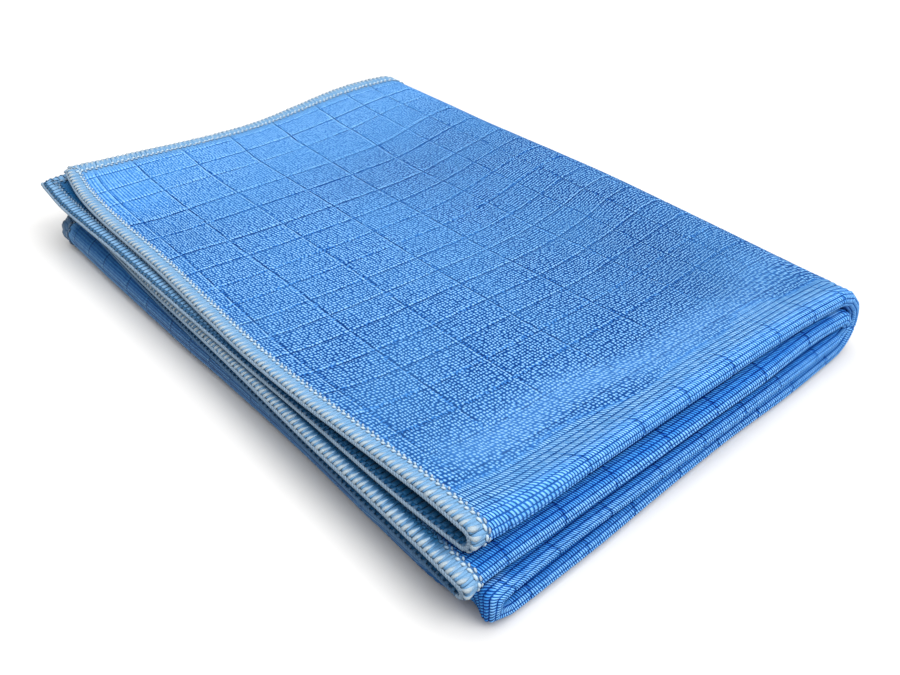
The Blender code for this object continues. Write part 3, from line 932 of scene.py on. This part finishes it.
class Nodes:
    """Short ways to add nodes and links to a material."""

    def __init__(self, name):
        self.material = bpy.data.materials.new(name)
        self.material.use_nodes = True
        self.tree = self.material.node_tree
        self.shader = self.tree.nodes["Principled BSDF"]

    def put(self, socket, value):
        """A link where the value is another node's socket, and else the value itself."""
        if isinstance(value, bpy.types.NodeSocket):
            self.tree.links.new(value, socket)
        else:
            socket.default_value = value

    def node(self, kind, inputs, **settings):
        made = self.tree.nodes.new(kind)
        for key, value in settings.items():
            setattr(made, key, value)
        for key, value in inputs.items():
            self.put(made.inputs[key], value)
        return made

    def math(self, operation, a, b=0.0, c=0.0):
        return self.node("ShaderNodeMath", {0: a, 1: b, 2: c}, operation=operation).outputs[0]

    def value(self, name):
        return self.node("ShaderNodeAttribute", {}, attribute_name=name).outputs["Fac"]

    def uv(self, name):
        return self.node("ShaderNodeUVMap", {}, uv_map=name).outputs[0]

    def parts(self, vector):
        return self.node("ShaderNodeSeparateXYZ", {0: vector}).outputs

    def vector(self, x, y):
        return self.node("ShaderNodeCombineXYZ", {0: x, 1: y}).outputs[0]

    def step(self, value, low, high, to_low=0.0, to_high=1.0):
        return self.node(
            "ShaderNodeMapRange", {0: value, 1: low, 2: high, 3: to_low, 4: to_high},
            interpolation_type="SMOOTHSTEP",
        ).outputs[0]

    def wave(self, phase, low, high):
        """A smooth wave between low and high, high where phase is a whole number."""
        turn = self.math("COSINE", self.math("MULTIPLY", phase, 2 * math.pi))
        return self.math("MULTIPLY_ADD", turn, (high - low) / 2, (high + low) / 2)

    def noise(self, vector, scale, detail=2.0):
        inputs = {"Vector": vector, "Scale": scale, "Detail": detail}
        return self.node("ShaderNodeTexNoise", inputs, noise_dimensions="2D").outputs["Fac"]

    def mix(self, share, a, b, blend="MIX"):
        made = self.node("ShaderNodeMix", {}, data_type="RGBA", blend_type=blend)
        self.put(made.inputs[0], share)
        self.put(made.inputs[6], a)
        self.put(made.inputs[7], b)
        return made.outputs[2]

    def blend(self, share, a, b):
        """Two numbers mixed by a share."""
        return self.math("MULTIPLY_ADD", self.math("SUBTRACT", b, a), share, a)

    def near(self, value, inner, outer):
        """1 where a signed number is within inner of 0, and 0 beyond outer."""
        return self.step(self.math("ABSOLUTE", value), inner, outer, 1.0, 0.0)

    def finish(self, colour, relief, strength, distance, numbers):
        """The shader's colour and bump, and the numbers that are the same everywhere."""
        inputs = {"Height": relief, "Strength": strength, "Distance": distance}
        bump = self.node("ShaderNodeBump", inputs)
        self.put(self.shader.inputs["Base Color"], colour)
        self.put(self.shader.inputs["Normal"], bump.outputs[0])
        self.set_numbers(numbers)
        return self.material

    def set_numbers(self, numbers):
        for name, value in numbers.items():
            self.shader.inputs[name].default_value = value

    def ramp(self, value, stops):
        made = self.node("ShaderNodeValToRGB", {0: value})
        elements = made.color_ramp.elements
        for _ in stops[2:]:
            elements.new(0.5)
        for element, (place, colour) in zip(elements, stops):
            element.position, element.color = place, (*colour, 1)
        return made.outputs[0]


def knit_material():
    """The knit: loose stitches on the flats, ribs on the noses, and the check's grooves."""
    n = Nodes("microfibre_knit")
    stitch = n.uv("stitch")
    x, y, _ = n.parts(stitch)
    ribs, worn_share, contrast, fold, plain = (
        n.value(name) for name in ("ribs", "worn", "contrast", "fold", "plain")
    )

    # Small wander of the yarns, in millimetres.
    sway = n.math("MULTIPLY_ADD", n.noise(stitch, 0.30, 2.0), 0.8, -0.4)
    straight_x, x, y_flat = x, n.math("ADD", x, sway), n.math("MULTIPLY_ADD", sway, 0.6, y)

    # The flats: loose stitches a little longer than wide, each lit a little differently.
    cells = n.node(
        "ShaderNodeTexVoronoi",
        {
            "Vector": n.vector(n.math("DIVIDE", x, GRAIN[0]), n.math("DIVIDE", y_flat, GRAIN[1])),
            "Scale": 1.0,
            "Randomness": 0.38,
        },
        voronoi_dimensions="2D",
    )
    grain = n.step(cells.outputs["Distance"], 0.12, 0.58, 1.0, 0.0)
    lit = n.math("SUBTRACT", n.parts(cells.outputs["Color"])[0], 0.5)

    # The noses: courses as ribs, with slanting stitches on them.
    beats, row, _ = n.parts(n.uv("beats"))
    ridge = n.math("ABSOLUTE", n.math("SINE", n.math("MULTIPLY", row, math.pi)))
    ridge = n.step(ridge, 0.06, 0.50, 0.10, 0.94)
    row_shift = n.node(
        "ShaderNodeTexWhiteNoise", {"W": n.math("FLOOR", row)}, noise_dimensions="1D"
    ).outputs["Value"]
    slant = n.math("MULTIPLY_ADD", n.math("FRACT", row), -0.75, row_shift)
    beat = n.wave(n.math("ADD", n.math("ADD", beats, sway), slant), 0.0, 1.0)
    beat = n.step(beat, 0.0, 0.68, 0.08, 1.0)
    rib = n.math("MULTIPLY", ridge, beat)

    # The fold at the left: fine wales.
    wale = n.math("DIVIDE", n.math("MULTIPLY_ADD", sway, 0.15, straight_x), FOLD_WALE)
    wale = n.wave(wale, 0.1, 0.9)
    grain = n.blend(n.math("MULTIPLY", fold, 0.85), grain, wale)
    line = n.wave(n.math("DIVIDE", straight_x, WALE), 0.0, 0.72)
    line = n.math("MULTIPLY_ADD", grain, 0.2, line)
    grain = n.blend(n.math("MULTIPLY", n.value("lines"), 0.8), grain, line)
    height = n.blend(n.step(ribs, 0.15, 0.60), grain, rib)

    # The check's grooves, darkened with painted shade, and beside each a line of stitches with a
    # painted highlight.
    p, q, _ = n.parts(n.uv("check"))
    off_p, off_q = (
        n.math("MULTIPLY", n.math("SUBTRACT", n.math("FRACT", n.math("ADD", i, 0.5)), 0.5), pitch)
        for i, pitch in ((p, WALE_PITCH), (q, COURSE_PITCH))
    )
    wale_line, course_line = n.near(off_p, 0.08, 0.30), n.near(off_q, 0.05, 0.26)
    uneven = n.math("MULTIPLY", n.step(n.noise(stitch, 0.22, 2.0), 0.30, 0.60, 0.5, 1.0), plain)
    groove = n.math("MULTIPLY", n.math("MAXIMUM", wale_line, course_line), uneven)
    beside_p = n.near(n.math("ADD", off_p, BESIDE), 0.05, 0.24)
    beside_q = n.near(n.math("ADD", off_q, BESIDE), 0.10, 0.32)
    beside_q = n.math("MULTIPLY", beside_q, n.wave(n.math("DIVIDE", x, WALE), 0.0, 1.0))
    bright = n.math("MULTIPLY", n.math("MAXIMUM", beside_p, beside_q), plain)
    bright = n.math("MULTIPLY", bright, n.math("SUBTRACT", 1.0, ribs))

    # Painted shade in the gaps between stitches: as deep as the contrast asks, full on the ribs,
    # less on the worn band.
    depth = n.blend(ribs, contrast, 1.0)
    depth = n.math("MULTIPLY", depth, n.math("MULTIPLY_ADD", worn_share, -0.30, 1.0))
    shown = n.math("SUBTRACT", 1.0, n.math("MULTIPLY", n.math("SUBTRACT", 1.0, height), depth))
    shown = n.math("MULTIPLY_ADD", lit, 0.20, shown)
    # Painted shade in the grooves, and a painted highlight on the line beside each.
    shown = n.math("MULTIPLY_ADD", groove, -0.55, shown)
    shown = n.math("MULTIPLY_ADD", bright, 0.42, shown)
    colour = n.ramp(shown, KNIT_TONES)

    # Broad variation of tone, the worn band, painted shade with a grey painted sheen on the fold
    # at the left, the noses' tint, painted shade between the layers, the cloth under the hem's
    # thread, and painted shade between its loops and on the inner face.
    broad = n.step(n.noise(stitch, 0.05, 3.0), 0.35, 0.75, 0.0, 0.25)
    for share, tone, blend in (
        (broad, BROAD_BLUE, "MIX"),
        (n.math("MULTIPLY", worn_share, 0.25), WORN_BLUE, "MIX"),
        (n.math("MULTIPLY", fold, 0.60), LEFT_FOLD_SHADE_BLUE, "MIX"),
        (n.value("nose"), NOSE_TINT, "MULTIPLY"),
        (n.math("MULTIPLY", n.value("valley"), 0.85), VALLEY_TINT, "MULTIPLY"),
        (n.value("hem"), HEM_BLUE, "MIX"),
        (n.value("gaps"), EDGE_GAP_SHADE, "MIX"),
        (n.value("inside"), INSIDE_SHADE_BLUE, "MIX"),
    ):
        colour = n.mix(share, colour, tone, blend)
    relief = n.math("MULTIPLY_ADD", groove, -0.5, n.math("MULTIPLY", height, depth))
    return n.finish(colour, relief, 0.8, 0.25 * MM, KNIT_SURFACE)


def thread_material():
    """The overlock's thread, paler on the crests, partly with a painted highlight, and with
    painted shade where layers lie close on it.
    """
    n = Nodes("overlock_thread")
    crest, shade, dim, fold = (n.value(name) for name in ("crest", "shade", "dim", "fold"))
    colour = n.mix(crest, THREAD_BLUE, THREAD_CREST)
    colour = n.mix(n.step(shade, 0.0, 2.0, 0.0, 1.0), colour, THREAD_PALE)
    colour = n.mix(dim, colour, THREAD_SHADOWED)
    place = n.node("ShaderNodeTexCoord", {}).outputs["Object"]
    fuzz = n.node(
        "ShaderNodeTexNoise", {"Vector": place, "Scale": 5200.0, "Detail": 2.0}
    ).outputs["Fac"]
    colour = n.mix(n.step(fuzz, 0.35, 0.60, 0.25, 0.0), colour, THREAD_FUZZ)
    # Painted shade round the fold at the left.
    colour = n.mix(n.math("MULTIPLY", fold, 0.75), colour, THREAD_SHADE_AT_FOLD)
    return n.finish(colour, fuzz, 0.5, 0.05 * MM, THREAD_SURFACE)


def floor_material():
    n = Nodes("studio_floor")
    place = n.node("ShaderNodeTexCoord", {}).outputs["Object"]
    cloudy = n.mix(n.noise(place, 3.0, 2.0), FLOOR_WHITE, FLOOR_WHITER)
    n.put(n.shader.inputs["Base Color"], cloudy)
    n.set_numbers(FLOOR_SURFACE)
    return n.material


# ---- the scene ----


def piece(mesh, material):
    """A mesh as a piece of the cloth."""
    mesh.materials.append(material)
    made = bpy.data.objects.new(mesh.name, mesh)
    bpy.context.scene.collection.objects.link(made)
    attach(made, "root")
    return made


def aimed(made, way):
    """Turns a camera or a light to look along a way, and adds it to the scene."""
    made.rotation_mode = "QUATERNION"
    made.rotation_quaternion = Vector(way).to_track_quat("-Z", "Y")
    bpy.context.scene.collection.objects.link(made)


def area_light(name, place, size, power, colour):
    """A round soft light that shines at the cloth."""
    light = bpy.data.lights.new(name, "AREA")
    light.shape = "DISK"
    light.size, light.energy, light.color = size, power, colour
    made = bpy.data.objects.new(name, light)
    made.location = place
    aimed(made, -Vector(place))


def camera():
    """At the photograph's place: a little above the table, looking at the hems' corner."""
    made = bpy.data.objects.new("camera", bpy.data.cameras.new("camera"))
    made.data.sensor_width, made.data.lens = SENSOR, LENS
    made.data.clip_start = 0.005
    made.location = CAMERA_PLACE
    yaw, pitch = math.radians(CAMERA_YAW), math.radians(CAMERA_PITCH)
    flat = math.cos(pitch)
    aimed(made, (flat * math.cos(yaw), flat * math.sin(yaw), math.sin(pitch)))
    bpy.context.scene.camera = made


def studio():
    """The plain floor and the soft light."""
    mesh = bpy.data.meshes.new("floor")
    ways = ((-1, -1), (1, -1), (1, 1), (-1, 1))
    corners = [(x * FLOOR_SIDE, y * FLOOR_SIDE, FLOOR_Z) for x, y in ways]
    mesh.from_pydata(corners, [], [(0, 1, 2, 3)])
    mesh.materials.append(floor_material())
    floor = bpy.data.objects.new("floor", mesh)
    bpy.context.scene.collection.objects.link(floor)
    world = bpy.data.worlds.new("studio")
    world.use_nodes = True
    background = world.node_tree.nodes["Background"]
    background.inputs[0].default_value = (1, 1, 1, 1)
    background.inputs[1].default_value = WORLD_LIGHT
    bpy.context.scene.world = world
    for row in LIGHTS:
        area_light(*row)
    bpy.context.scene.view_settings.view_transform = "Standard"


camera()
rng = np.random.default_rng(7)
cloth = piece(sheet_mesh(), knit_material())
thread = thread_material()
overlock = [
    piece(mesh, thread)
    for mesh in (
        satin(rng, 1), satin(rng, -1), needle_row(rng, 1), needle_row(rng, -1),
        edge_loops(rng), edge_rope(rng), corner_ends(rng),
    )
]
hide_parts("cloth")
studio()
